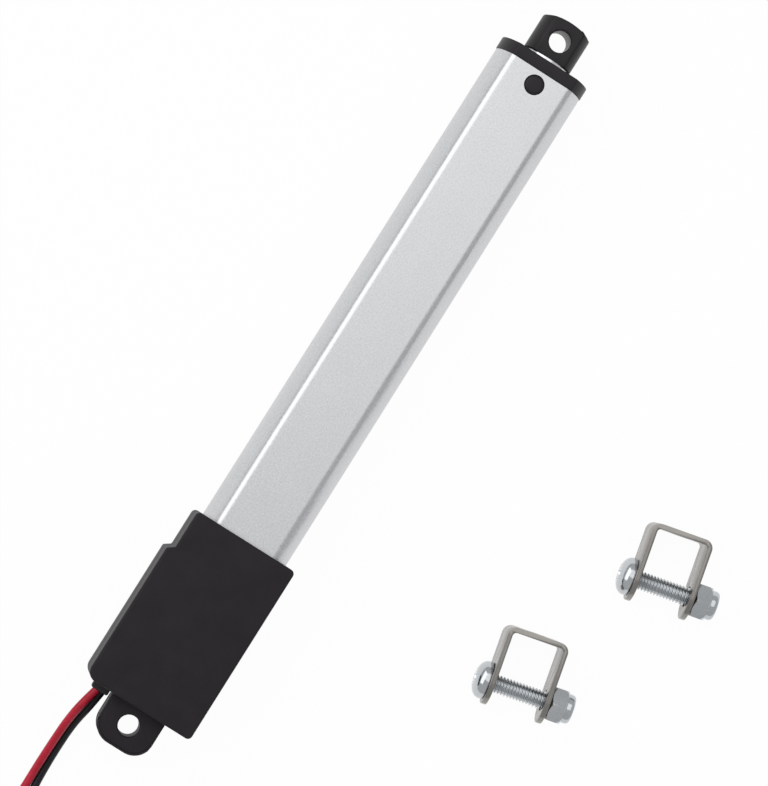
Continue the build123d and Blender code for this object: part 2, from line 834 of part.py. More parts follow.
def bracket_nut():
    """Hexagon lock nut whose round collar holds the nylon ring."""
    start = bracket_width / 2 + nut_seat_gap
    hexagon = RegularPolygon(nut_across_flats / 2, 6, major_radius=False)
    nut = along_x(hexagon, start, start + nut_hex_height)
    corner = nut_across_flats / sqrt(3)
    crown = corner - nut_across_flats / 2
    trim = make_face(Polyline(
        (start, 0), (start, corner), (start + nut_hex_height - crown, corner),
        (start + nut_hex_height, nut_across_flats / 2), (start + nut_hex_height, 0), close=True))
    nut &= revolve(trim, Axis.X)
    collar = bar(nut_collar_diameter, start + nut_hex_height, start + nut_height)
    collar = fillet(collar.edges().sort_by(Axis.X)[-1], nut_collar_round)
    nut += collar
    return nut - bar(bolt_diameter + 2 * thread_gap, start, start + nut_height)


def build_nodes():
    nodes = {
        "front_shell": front_shell(), "back_shell": back_shell(),
        "housing_screws": housing_screws(), "cable_grommet": cable_grommet(),
        "outer_tube": outer_tube(), "front_cap": front_cap(),
        "rod_bush": rod_bush(), "rod_seal": rod_seal(),
        "motor_can": motor_can(), "motor_end_cap": motor_end_cap(),
        "motor_terminals": motor_terminals(), "motor_shaft": motor_shaft(),
        "sun_gear_1": sun_gear_1(), "sun_gear_2": sun_gear_2(),
        "ring_gear": ring_gear(), "gearbox_plate": gearbox_plate(),
        "gearbox_cover": gearbox_cover(), "carrier_1": carrier_1(), "carrier_2": carrier_2(),
        "bearing_block": bearing_block(), "bearing_outer_ring": bearing_outer_ring(),
        "bearing_inner_ring": bearing_inner_ring(), "bearing_balls": bearing_balls(),
        "retaining_ring": retaining_ring(), "lead_screw": lead_screw(),
        "screw_tip_bush": screw_tip_bush(), "lead_nut": lead_nut(), "nut_slider": nut_slider(),
        "inner_rod": inner_rod(), "rod_end": rod_end(), "switch_board": switch_board(),
        "rear_limit_switch": limit_switch(False), "front_limit_switch": limit_switch(True),
        "rear_plunger": plunger(False), "front_plunger": plunger(True),
        "switch_diodes": switch_diodes(),
        "red_inner_lead": red_inner_lead(), "black_inner_lead": black_inner_lead(),
        "red_wire": wire("red_wire", red_route), "black_wire": wire("black_wire", black_route),
        "red_wire_coil": coil(0), "black_wire_coil": coil(1),
    }
    for number in range(planets_per_stage):
        nodes[f"planet_1{'abc'[number]}"] = planet(number, stage_1_rear, stage_1_front)
        nodes[f"planet_2{'abc'[number]}"] = planet(number, stage_2_rear, stage_2_front)
    for number in range(len(bracket_places)):
        place = place_bracket(number)
        nodes[f"bracket_{number + 1}"] = place * bracket()
        nodes[f"bracket_bolt_{number + 1}"] = place * bracket_bolt()
        nodes[f"bracket_nut_{number + 1}"] = place * bracket_nut()
    return nodes


os.makedirs("parts", exist_ok=True)
for node_name, shape in build_nodes().items():
    export_step(shape, f"parts/{node_name}.step")
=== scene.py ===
import json
from math import atan2, cos, pi, radians, sin, sqrt

import bmesh
import bpy
from mathutils import Matrix, Vector


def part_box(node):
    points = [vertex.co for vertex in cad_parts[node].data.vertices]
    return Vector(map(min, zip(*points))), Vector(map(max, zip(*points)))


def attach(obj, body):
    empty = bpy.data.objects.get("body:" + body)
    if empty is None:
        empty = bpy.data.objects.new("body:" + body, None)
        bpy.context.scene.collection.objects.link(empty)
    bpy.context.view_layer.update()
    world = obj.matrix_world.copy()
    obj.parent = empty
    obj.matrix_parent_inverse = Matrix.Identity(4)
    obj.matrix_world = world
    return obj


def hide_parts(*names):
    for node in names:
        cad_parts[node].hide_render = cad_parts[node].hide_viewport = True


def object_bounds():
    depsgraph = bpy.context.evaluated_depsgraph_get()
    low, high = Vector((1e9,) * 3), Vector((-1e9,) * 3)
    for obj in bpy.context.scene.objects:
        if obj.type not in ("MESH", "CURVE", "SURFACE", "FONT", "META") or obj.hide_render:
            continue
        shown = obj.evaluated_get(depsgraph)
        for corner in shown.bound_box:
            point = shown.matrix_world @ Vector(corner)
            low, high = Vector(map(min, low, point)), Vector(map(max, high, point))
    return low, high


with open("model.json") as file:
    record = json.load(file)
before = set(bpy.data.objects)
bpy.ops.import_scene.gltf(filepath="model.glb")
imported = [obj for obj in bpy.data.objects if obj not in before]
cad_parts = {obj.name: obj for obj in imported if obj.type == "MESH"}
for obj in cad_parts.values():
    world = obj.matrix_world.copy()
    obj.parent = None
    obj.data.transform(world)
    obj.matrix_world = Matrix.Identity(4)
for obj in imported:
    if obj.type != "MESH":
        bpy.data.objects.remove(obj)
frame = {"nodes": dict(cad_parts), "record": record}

CAD_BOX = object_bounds()
MM = 0.001
QUARTER_TURN = pi / 2
FULL_TURN = 2 * pi

# Camera
# The photograph looks down on the lying actuator with a long lens, a little from the side of
# the housing and of the cable outlet. In the picture the axis leans to the right of upright.
CAMERA_PLACE = Vector((0.0462, 0.0681, 0.9000))
CAMERA_TARGET = Vector((0.0851, -0.0082, 0.0))
AXIS_LEAN = radians(32.2)
PHOTO_SPAN = 0.1611
SENSOR = 36.0
NEAREST, FARTHEST = 0.01, 10.0


def place_camera():
    back = (CAMERA_PLACE - CAMERA_TARGET).normalized()
    along = Vector((1, 0, 0))
    along = (along - back * along.dot(back)).normalized()
    across = back.cross(along)
    right = along * sin(AXIS_LEAN) - across * cos(AXIS_LEAN)
    up = along * cos(AXIS_LEAN) + across * sin(AXIS_LEAN)
    data = bpy.data.cameras.new("camera")
    data.sensor_width = SENSOR
    data.lens = SENSOR * (CAMERA_PLACE - CAMERA_TARGET).length / PHOTO_SPAN
    data.clip_start, data.clip_end = NEAREST, FARTHEST
    camera = bpy.data.objects.new("camera", data)
    bpy.context.scene.collection.objects.link(camera)
    turn = Matrix((right, up, back)).transposed()
    camera.matrix_world = Matrix.Translation(CAMERA_PLACE) @ turn.to_4x4()
    bpy.context.scene.camera = camera


place_camera()


# Finishes
def linear(colour):
    """The linear colour of an sRGB hex value."""
    parts = [int(colour[i:i + 2], 16) / 255 for i in (1, 3, 5)]
    parts = [p / 12.92 if p <= 0.04045 else ((p + 0.055) / 1.055) ** 2.4 for p in parts]
    return (*parts, 1.0)


def add(tree, kind, settings=None, **sockets):
    """One new node. A socket takes a value or the socket of another node, by name with _ for a space."""
    made = tree.nodes.new(kind)
    for name, value in (settings or {}).items():
        setattr(made, name, value)
    for name, value in sockets.items():
        if name.startswith("in_"):
            socket = made.inputs[int(name[3:])]
        else:
            socket = made.inputs[name.replace("_", " ")]
        if isinstance(value, bpy.types.NodeSocket):
            tree.links.new(value, socket)
        else:
            socket.default_value = value
    return made


def cleared_tree(owner):
    """The empty node tree of a material or a world."""
    owner.use_nodes = True
    owner.node_tree.nodes.clear()
    return owner.node_tree


def bare_material(name, **constants):
    """A new material with its tree and its shader, whose sockets get the constants."""
    made = bpy.data.materials.new(name)
    tree = cleared_tree(made)
    shader = add(tree, "ShaderNodeBsdfPrincipled", **constants)
    add(tree, "ShaderNodeOutputMaterial", Surface=shader.outputs["BSDF"])
    return made, tree, shader


# Noise lies about 0.5. These are the ends of the part of it that a finish uses.
NOISE_LOW, NOISE_HIGH = 0.3, 0.7
BOTH_LOW, BOTH_HIGH = 0.7, 1.3
METAL_SPREAD = 0.25
PLASTIC_DETAIL = 2.0
METAL_DETAIL = 3.0
# Size of the clouds that the flow of the plastic and the plating leave.
FLOW_MM = 5.0
CLOUD_MM = 7.0
# How much smoother and rougher than its roughness a finish gets from place to place.
PLASTIC_SMOOTHER = 0.04
METAL_SMOOTHER = 0.05
ROUGHER = 0.06
LEAST_ROUGHNESS = 0.04


def grained(tree, shader, share, grain, colours, gloss, depth_mm):
    """Gives a shader two colours mixed by share, and a gloss and a height that follow the grain."""
    dark, light = colours
    smooth, rough = gloss
    colour = add(
        tree, "ShaderNodeMix", {"data_type": "RGBA"}, in_0=share, in_6=linear(dark), in_7=linear(light),
    )
    roughness = add(
        tree, "ShaderNodeMapRange", in_0=grain, in_1=NOISE_LOW, in_2=NOISE_HIGH, in_3=smooth, in_4=rough,
    )
    bump = add(tree, "ShaderNodeBump", Height=grain, Distance=depth_mm * MM)
    tree.links.new(colour.outputs[2], shader.inputs["Base Color"])
    tree.links.new(roughness.outputs["Result"], shader.inputs["Roughness"])
    tree.links.new(bump.outputs["Normal"], shader.inputs["Normal"])


def moulded(name, dark, light, roughness, grain_mm, depth_mm, **constants):
    """A moulded plastic: spark eroded grain, a faint cloud of flow in the colour, uneven gloss."""
    made, tree, shader = bare_material(name, **constants)
    place = add(tree, "ShaderNodeTexCoord").outputs["Object"]
    grain = add(
        tree, "ShaderNodeTexNoise", Vector=place, Scale=1 / (grain_mm * MM), Detail=PLASTIC_DETAIL,
    ).outputs["Fac"]
    flow = add(tree, "ShaderNodeTexNoise", Vector=place, Scale=1 / (FLOW_MM * MM)).outputs["Fac"]
    both = add(tree, "ShaderNodeMath", {"operation": "ADD"}, in_0=grain, in_1=flow).outputs["Value"]
    share = add(tree, "ShaderNodeMapRange", in_0=both, in_1=BOTH_LOW, in_2=BOTH_HIGH).outputs["Result"]
    gloss = (roughness - PLASTIC_SMOOTHER, roughness + ROUGHER)
    grained(tree, shader, share, grain, (dark, light), gloss, depth_mm)
    return made


def metal(name, dark, light, roughness, grain_mm, depth_mm, stretch=(1.0, 1.0, 1.0), cloudy=0.5):
    """A bare or plated metal: its grain or its tool lines in colour, gloss and height."""
    made, tree, shader = bare_material(name, Metallic=1.0)
    place = add(tree, "ShaderNodeTexCoord").outputs["Object"]
    drawn = add(tree, "ShaderNodeMapping", Vector=place, Scale=stretch).outputs["Vector"]
    grain = add(
        tree, "ShaderNodeTexNoise", Vector=drawn, Scale=1 / (grain_mm * MM), Detail=METAL_DETAIL,
    ).outputs["Fac"]
    cloud = add(tree, "ShaderNodeTexNoise", Vector=place, Scale=1 / (CLOUD_MM * MM)).outputs["Fac"]
    both = add(
        tree, "ShaderNodeMath", {"operation": "MULTIPLY_ADD"}, in_0=cloud, in_1=cloudy, in_2=grain,
    ).outputs["Value"]
    middle = (1 + cloudy) / 2
    share = add(
        tree, "ShaderNodeMapRange", in_0=both, in_1=middle - METAL_SPREAD, in_2=middle + METAL_SPREAD,
    ).outputs["Result"]
    gloss = (max(roughness - METAL_SMOOTHER, LEAST_ROUGHNESS), roughness + ROUGHER)
    grained(tree, shader, share, grain, (dark, light), gloss, depth_mm)
    return made


# Black glass filled nylon, moulded against a fine grain: a dull charcoal, greyer where light grazes.
HOUSING_NYLON = moulded(
    "black_glass_filled_nylon", "#211d21", "#282428", 0.5, 0.14, 0.006, Specular_IOR_Level=0.18,
)
# The same nylon in the cap, from a smoother mould.
CAP_NYLON = moulded(
    "black_nylon_cap", "#211e21", "#292629", 0.36, 0.14, 0.004, Specular_IOR_Level=0.22,
)
# Black nylon of the rod end, from a finer mould: a little shinier.
ROD_END_NYLON = moulded(
    "black_nylon_rod_end", "#1e1c1e", "#282528", 0.36, 0.13, 0.004, Specular_IOR_Level=0.24,
)
# Chloroprene rubber: dull and soft black.
RUBBER = moulded("black_chloroprene_rubber", "#1a1a1b", "#232324", 0.7, 0.2, 0.006)
# Clear anodised aluminium, bead blasted first: even pale grey with a fine mottle. The pits are 0.1 mm
# across, and are drawn at 0.35 mm so that they show.
ANODISED = metal("blasted_anodised_aluminium", "#c5c6c8", "#dfe0e2", 0.34, 0.35, 0.0015, cloudy=0.08)
# Drawn aluminium bar, turned: fine rings and a brighter shine.
ROD_ALUMINIUM = metal("drawn_aluminium", "#d6d7d9", "#eeeff0", 0.2, 0.1, 0.001, stretch=(0.05, 1.0, 1.0))
# Nickel plated steel of the motor can: warm white metal with soft reflections.
NICKEL = metal("nickel_plated_steel", "#c4bfb4", "#d8d3c8", 0.18, 0.5, 0.001)
# Sintered steel of the gears, oiled: dark grey.
GEAR_STEEL = metal("sintered_gear_steel", "#84827f", "#a3a09c", 0.32, 0.12, 0.003)
# Ground bearing steel: bright.
BEARING_STEEL = metal("ground_bearing_steel", "#c9c9ca", "#dededf", 0.1, 0.3, 0.0005)
# Rolled steel of the lead screw, greased: grey, with a soft wet shine.
SCREW_STEEL = metal("rolled_screw_steel", "#a8a6a2", "#c6c4c0", 0.22, 0.15, 0.001)
# Stainless sheet, drum polished after bending: bright with fine scratches.
STAINLESS = metal("polished_stainless_sheet", "#85827e", "#a09d99", 0.22, 0.12, 0.0015)
# Clear zinc plate over cold headed steel: bluish white.
ZINC = metal("clear_zinc_plated_steel", "#b7bbbe", "#d3d6d9", 0.14, 0.2, 0.0015)
# Stamped brass of the motor terminals: yellow and half bright.
BRASS = metal("stamped_brass", "#b58f4d", "#d0aa64", 0.25, 0.2, 0.001)
# Oil filled sintered bronze of the bushes and the nut: brownish gold, dull, finely mottled.
BRONZE = metal("sintered_bronze", "#a0784a", "#bd935e", 0.35, 0.1, 0.003)
# Moulded acetal of the slider: a warm white with a waxy shine.
ACETAL = moulded("white_acetal", "#e4e3dd", "#efeee9", 0.35, 0.2, 0.002)
# Glass epoxy board under solder mask: deep green and fairly glossy.
BOARD = moulded("green_glass_epoxy_board", "#1f5a36", "#2a6b42", 0.3, 0.4, 0.002)
# Moulded polyester of the limit switches: near black, half glossy.
SWITCH = moulded("black_switch_polyester", "#1c1c1e", "#262628", 0.4, 0.15, 0.003)
# Plasticised PVC of the leads: saturated, with a soft broad shine.
RED_PVC = moulded(
    "red_wire_insulation", "#a50d26", "#bd1836", 0.36, 0.5, 0.003, Specular_IOR_Level=0.35,
)
BLACK_PVC = moulded(
    "black_wire_insulation", "#17161a", "#201f24", 0.38, 0.5, 0.003, Specular_IOR_Level=0.25,
)
# Tinned copper strands at the stripped ends: silvery white and half bright.
TINNED = metal("tinned_copper_strands", "#b9b7b2", "#d5d3ce", 0.25, 0.1, 0.001)

SLOT_FINISH = {
    "housing_nylon": HOUSING_NYLON,
    "cap_nylon": CAP_NYLON,
    "rod_end_nylon": ROD_END_NYLON,
    "black_rubber": RUBBER,
    "anodised_tube": ANODISED,
    "rod_aluminium": ROD_ALUMINIUM,
    "nickel_steel": NICKEL,
    "gear_steel": GEAR_STEEL,
    "bearing_steel": BEARING_STEEL,
    "screw_steel": SCREW_STEEL,
    "stainless_sheet": STAINLESS,
    "zinc_steel": ZINC,
    "brass": BRASS,
    "bronze": BRONZE,
    "white_acetal": ACETAL,
    "board_laminate": BOARD,
    "switch_plastic": SWITCH,
    "red_pvc": RED_PVC,
    "black_pvc": BLACK_PVC,
}
NODE_SLOT = {part["node"]: part["material_slot"] for part in frame["record"]["subparts"]}
NODE_BODY = {
    node: body
    for body, nodes in frame["record"]["behaviour"]["bodies"].items()
    for node in nodes
}


def paint(piece, material):
    piece.data.materials.clear()
    piece.data.materials.append(material)


for node, piece in frame["nodes"].items():
    paint(piece, SLOT_FINISH[NODE_SLOT[node]])


# Pieces
def settled(piece, node_or_body, *replaced, slot):
    """Gives a finished piece its body and hides the nodes that it stands for. The slot is not used."""
    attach(piece, NODE_BODY.get(node_or_body, node_or_body))
    if replaced:
        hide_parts(*replaced)
    return piece


def new_piece(name, mesh, material):
    piece = bpy.data.objects.new(name, mesh)
    bpy.context.scene.collection.objects.link(piece)
    if material is not None:
        paint(piece, material)
    return piece


# Leads
# Route points of each lead in millimetres, from the outlet to its coil.
RED_ROUTE = (
    (2.65, 9.3, 0.95), (-0.4, 10.15, 0.95), (-5.4, 10.85, -0.9), (-11.4, 10.85, -4.2),
    (-17.6, 10.75, -6.7), (-24.4, 10.55, -8.15), (-32.0, 11.2, -8.15), (-39.0, 11.3, -8.15),
)
BLACK_ROUTE = (
    (2.65, 8.1, -0.95), (-0.6, 8.45, -1.05), (-5.8, 9.4, -2.9), (-11.8, 9.4, -5.7),
    (-17.8, 9.15, -7.9), (-24.0, 8.7, -8.12), (-30.0, 8.7, -6.2), (-38.0, 9.5, -4.5),
)
LEAD_RADIUS = 0.85
LEAD_STEPS = 10
LEAD_ROUND_STEPS = 6
COIL_CENTRE = (-46.0, 0.5)
INNER_TURN = 8.75
OUTER_TURN = 10.5
LOWEST_LAYER = -8.15
LAYER_PITCH = 1.75
LAYERS = 4
TURN_POINTS = 16
CHANGE_SHARE = 0.25


def coil_points(turns):
    """Points of the turns, each (radius, height). The last share of a turn goes over to the next one."""
    points = []
    for k, (radius, height) in enumerate(turns):
        following = turns[min(k + 1, len(turns) - 1)]
        for j in range(TURN_POINTS):
            share = j / TURN_POINTS
            step = max(0.0, (share - 1 + CHANGE_SHARE) / CHANGE_SHARE)
            r = radius + (following[0] - radius) * step
            z = height + (following[1] - height) * step
            angle = QUARTER_TURN + FULL_TURN * share
            points.append((COIL_CENTRE[0] + r * cos(angle), COIL_CENTRE[1] + r * sin(angle), z))
    return points


def lead(colour, route, turns, material):
    """A lead along its route and round its turns, with the points of its curve."""
    name = f"{colour}_lead"
    points = list(route) + coil_points(turns)
    curve = bpy.data.curves.new(name, "CURVE")
    curve.dimensions = "3D"
    spline = curve.splines.new("NURBS")
    spline.points.add(len(points) - 1)
    for point, place in zip(spline.points, points):
        point.co = (*[c * MM for c in place], 1.0)
    spline.order_u = 3
    spline.use_endpoint_u = True
    spline.resolution_u = LEAD_STEPS
    curve.bevel_depth = LEAD_RADIUS * MM
    curve.bevel_resolution = LEAD_ROUND_STEPS
    curve.use_fill_caps = True
    piece = bpy.data.objects.new(name, curve)
    bpy.context.scene.collection.objects.link(piece)
    curve.materials.append(material)
    settled(piece, "housing", f"{colour}_wire", f"{colour}_wire_coil", slot=f"{colour}_pvc")
    return piece, points


# Each lead has two turns in each of its two layers. The red one lies below.
lowest, second, third, top = (LOWEST_LAYER + LAYER_PITCH * k for k in range(LAYERS))
RED_TURNS = ((OUTER_TURN, lowest), (INNER_TURN, lowest), (INNER_TURN, second), (OUTER_TURN, second))
BLACK_TURNS = ((INNER_TURN, third), (OUTER_TURN, third), (OUTER_TURN, top), (INNER_TURN, top))
red_lead, red_points = lead("red", RED_ROUTE, RED_TURNS, RED_PVC)
black_lead, black_points = lead("black", BLACK_ROUTE, BLACK_TURNS, BLACK_PVC)


# Making meshes
SMOOTH_LIMIT = radians(32)
TUBE_SMOOTH_LIMIT = radians(20)
THREAD_SMOOTH_LIMIT = radians(50)
BEVEL_LIMIT = radians(25)
FLAT_LIMIT = radians(0.4)
MERGE = 0.002 * MM
RING_STEPS = 64


def shaded(mesh, limit=SMOOTH_LIMIT):
    for face in mesh.polygons:
        face.use_smooth = True
    mesh.set_sharp_from_angle(angle=limit)
    return mesh


def bridged(bm, rings):
    """Faces from each ring of points to the ring after it. A ring is closed on itself."""
    for first, second in zip(rings, rings[1:]):
        for k in range(len(first)):
            m = (k + 1) % len(first)
            bm.faces.new((first[k], first[m], second[m], second[k]))


def filled(name, bm):
    """The mesh of what is built so far, with its faces pointing outwards."""
    mesh = bpy.data.meshes.new(name)
    bmesh.ops.recalc_face_normals(bm, faces=bm.faces)
    bm.to_mesh(mesh)
    bm.free()
    return mesh


def applied(piece):
    """Turns a piece's modifiers into its own plain mesh."""
    graph = bpy.context.evaluated_depsgraph_get()
    mesh = bpy.data.meshes.new_from_object(piece.evaluated_get(graph), depsgraph=graph)
    piece.modifiers.clear()
    old = piece.data
    piece.data = mesh
    bpy.data.meshes.remove(old)
    return piece


def eased(piece, width_mm, segments=2, share=None):
    """Rounds the edges of a piece, as a mould, a tumbler or a file leaves them.

    Where share gives a part of the width for an edge's two ends in mm, that edge gets only that."""
    bm = bmesh.new()
    bm.from_mesh(piece.data)
    weight = bm.edges.layers.float.new("bevel_weight_edge")
    for edge in bm.edges:
        if len(edge.link_faces) == 2 and edge.calc_face_angle() > BEVEL_LIMIT:
            edge[weight] = share(*[point.co / MM for point in edge.verts]) if share else 1.0
    bm.to_mesh(piece.data)
    bm.free()
    bevel = piece.modifiers.new("edge", "BEVEL")
    bevel.width = width_mm * MM
    bevel.segments = segments
    bevel.limit_method = "WEIGHT"
    bevel.use_clamp_overlap = False
    applied(piece)
    shaded(piece.data)
    return piece


def node_copy(node):
    """A merged copy of a node's mesh, with flat areas made whole."""
    bm = bmesh.new()
    bm.from_mesh(frame["nodes"][node].data)
    bmesh.ops.remove_doubles(bm, verts=bm.verts, dist=MERGE)
    bmesh.ops.dissolve_limit(bm, angle_limit=FLAT_LIMIT, verts=bm.verts, edges=bm.edges)
    mesh = bpy.data.meshes.new(node)
    bm.to_mesh(mesh)
    bm.free()
    return new_piece(f"{node}_shown", mesh, SLOT_FINISH[NODE_SLOT[node]])


def dressed(node, width_mm, segments=2, share=None, shaped=None):
    """A node's copy with eased edges. shaped may change the copy first."""
    piece = node_copy(node)
    if shaped:
        shaped(piece.data)
    return settled(eased(piece, width_mm, segments, share), node, node, slot=NODE_SLOT[node])


def cut(piece, cutter):
    """Cuts one piece out of another and removes the cutter."""
    paint(cutter, piece.data.materials[0])
    tool = piece.modifiers.new("cut", "BOOLEAN")
    tool.operation = "DIFFERENCE"
    tool.solver = "EXACT"
    tool.object = cutter
    applied(piece)
    bpy.data.objects.remove(cutter)
    return piece


def turned(name, profile, steps=RING_STEPS, limit=None):
    """Closed ring of a profile of (along, radius) points in mm, turned about the X axis.

    Where limit gives a radius for an angle, no point stands further out than that."""
    bm = bmesh.new()
    rings = []
    for along, radius in profile:
        ring = []
        for k in range(steps):
            angle = FULL_TURN * k / steps
            r = min(radius, limit(angle)) if limit else radius
            ring.append(bm.verts.new((along * MM, r * MM * cos(angle), r * MM * sin(angle))))
        rings.append(ring)
    bridged(bm, rings + rings[:1])
    bmesh.ops.remove_doubles(bm, verts=bm.verts, dist=MERGE)
    bmesh.ops.dissolve_degenerate(bm, edges=bm.edges, dist=MERGE)
    axis_lines = [edge for edge in bm.edges if not edge.link_faces]
    bmesh.ops.delete(bm, geom=axis_lines, context="EDGES")
    return filled(name, bm)


def prism(name, outline, low, high):
    """Prism along Z of an outline in mm."""
    bm = bmesh.new()
    floor = [bm.verts.new((x * MM, y * MM, low * MM)) for x, y in outline]
    roof = [bm.verts.new((x * MM, y * MM, high * MM)) for x, y in outline]
    bm.faces.new(floor)
    bm.faces.new(roof)
    bridged(bm, [floor, roof])
    return filled(name, bm)


# Outer tube
TUBE_REAR, TUBE_FRONT = (corner.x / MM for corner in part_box("outer_tube"))
TUBE_RADIUS = 10.0
TUBE_HALF_FLATS = 7.3
TUBE_WALL = 1.2
TUBE_CORNER = 2.0
TUBE_INNER_CORNER = 0.5
TUBE_END_BREAK = 0.12
BOSS_X = 154.3
BOSS_HOLE_RADIUS = 2.05
BOSS_HOLE_BREAK = 0.08
DRILL_REACH = 1.0
ARC_STEPS = 24
CORNER_STEPS = 10


def tube_outline(radius, half_flats, corner):
    """Round section with two flats, in Y and Z, and a rounded corner between flat and round."""
    centre_y = sqrt((radius - corner) ** 2 - (half_flats - corner) ** 2)
    lean = atan2(half_flats - corner, centre_y)
    quarter = []
    for k in range(ARC_STEPS):
        angle = lean * k / ARC_STEPS
        quarter.append((radius * cos(angle), radius * sin(angle)))
    for k in range(CORNER_STEPS + 1):
        angle = lean + (QUARTER_TURN - lean) * k / CORNER_STEPS
        quarter.append((centre_y + corner * cos(angle), half_flats - corner + corner * sin(angle)))
    left = [(-y, z) for y, z in reversed(quarter)]
    upper = quarter + left
    lower = [(-y, -z) for y, z in upper[1:-1]]
    return upper + lower


def make_tube():
    """The tube, open at both ends, with a hole for the snap boss through each flat."""
    bm = bmesh.new()
    outer = tube_outline(TUBE_RADIUS, TUBE_HALF_FLATS, TUBE_CORNER)
    inner = tube_outline(TUBE_RADIUS - TUBE_WALL, TUBE_HALF_FLATS - TUBE_WALL, TUBE_INNER_CORNER)
    shrink = 1 - TUBE_END_BREAK / TUBE_RADIUS
    rings = []
    for x, share, outline in (
        (TUBE_REAR, shrink, outer), (TUBE_REAR + TUBE_END_BREAK, 1.0, outer),
        (TUBE_FRONT - TUBE_END_BREAK, 1.0, outer), (TUBE_FRONT, shrink, outer),
        (TUBE_FRONT, 1.0, inner), (TUBE_REAR, 1.0, inner),
    ):
        rings.append([bm.verts.new((x * MM, y * share * MM, z * share * MM)) for y, z in outline])
    bridged(bm, rings + rings[:1])
    piece = new_piece("outer_tube_shown", filled("outer_tube", bm), ANODISED)
    high = TUBE_HALF_FLATS
    past = high + DRILL_REACH
    mouth = BOSS_HOLE_RADIUS + BOSS_HOLE_BREAK
    drill = turned("drill", (
        (-past, 0.0), (-past, mouth), (-high, mouth), (-high + BOSS_HOLE_BREAK, BOSS_HOLE_RADIUS),
        (high - BOSS_HOLE_BREAK, BOSS_HOLE_RADIUS), (high, mouth), (past, mouth), (past, 0.0),
    ))
    drill.transform(Matrix.Translation((BOSS_X * MM, 0, 0)) @ Matrix.Rotation(QUARTER_TURN, 4, "Y"))
    cut(piece, new_piece("drill", drill, None))
    shaded(piece.data, TUBE_SMOOTH_LIMIT)
    return settled(piece, "outer_tube", "outer_tube", slot="anodised_tube")


make_tube()


# Moulded pieces
TAB_END = 4.16
TAB_EASE = 0.5
SHELL_EASE = 0.16
CAP_EASE = 0.14
GROMMET_EASE = 0.12
ROD_EASE = 0.1
ROD_END_EASE = 0.25
MOULDED_SEGMENTS = 4
EYE_CLEAR = 3.0
# The photograph shows a bright strip of the rod between the cap and the rod end, so the shoulder of
# the rod end stands this far forward, and the rod with it.
SHOULDER_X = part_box("inner_rod")[1].x / MM
SHOULDER_FORWARD = 0.5
REACH = 0.02


def tab_rim(first, second):
    """Share of the tab's width for an edge: all for the rim of the rear tab, less for the rest."""
    level = abs(first.z - second.z) < REACH
    outside = all(co.x < TAB_END and co.xy.length > EYE_CLEAR for co in (first, second))
    at_wall = min(first.x, second.x) > TAB_END - REACH * 2
    return 1.0 if level and outside and not at_wall else SHELL_EASE / TAB_EASE


def bring_forward(mesh):
    for point in mesh.vertices:
        if abs(point.co.x - SHOULDER_X * MM) < REACH * MM:
            point.co.x += SHOULDER_FORWARD * MM


for node, width_mm, share, shaped in (
    ("front_shell", TAB_EASE, tab_rim, None), ("back_shell", TAB_EASE, tab_rim, None),
    ("front_cap", CAP_EASE, None, None), ("cable_grommet", GROMMET_EASE, None, None),
    ("inner_rod", ROD_EASE, None, bring_forward), ("rod_end", ROD_END_EASE, None, bring_forward),
):
    dressed(node, width_mm, MOULDED_SEGMENTS, share, shaped)


# Threads, by geometry nodes
# Faces round the bar and along one pitch, and the shares of a pitch in half a crest and in a flank.
THREAD_AROUND = 40
THREAD_PER_PITCH = 10
CREST_SHARE = 0.08
FLANK_SHARE = 0.34


